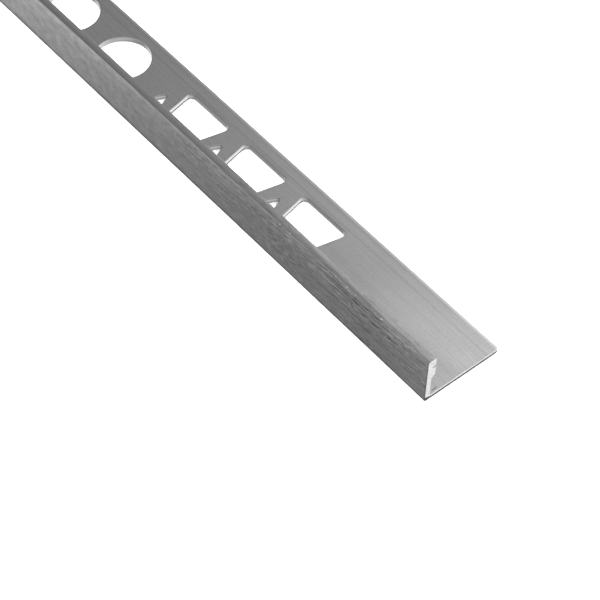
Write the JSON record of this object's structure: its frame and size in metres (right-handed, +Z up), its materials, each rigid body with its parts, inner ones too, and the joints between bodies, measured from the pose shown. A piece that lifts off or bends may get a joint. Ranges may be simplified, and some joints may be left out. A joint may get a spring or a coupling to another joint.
{
  "type": "tile edge trim",
  "caption": "Straight brushed aluminium angle that edges tiling: a wall with a thickened head beside the tile and a punched leg that is bedded in adhesive under it.",
  "frame": {"origin": "middle of the leg's underside, halfway along the trim", "axes": "+X along the trim towards the end where the punching starts, +Y from the wall's outer face to the leg's free edge, +Z up from the leg's underside to the head"},
  "size_m": [1, 0.02, 0.0125],
  "materials": {
    "brushed_aluminium": "brushed"
  },
  "bodies": {
    "root": {"edge_trim": "brushed_aluminium"}
  },
  "joints": []
}
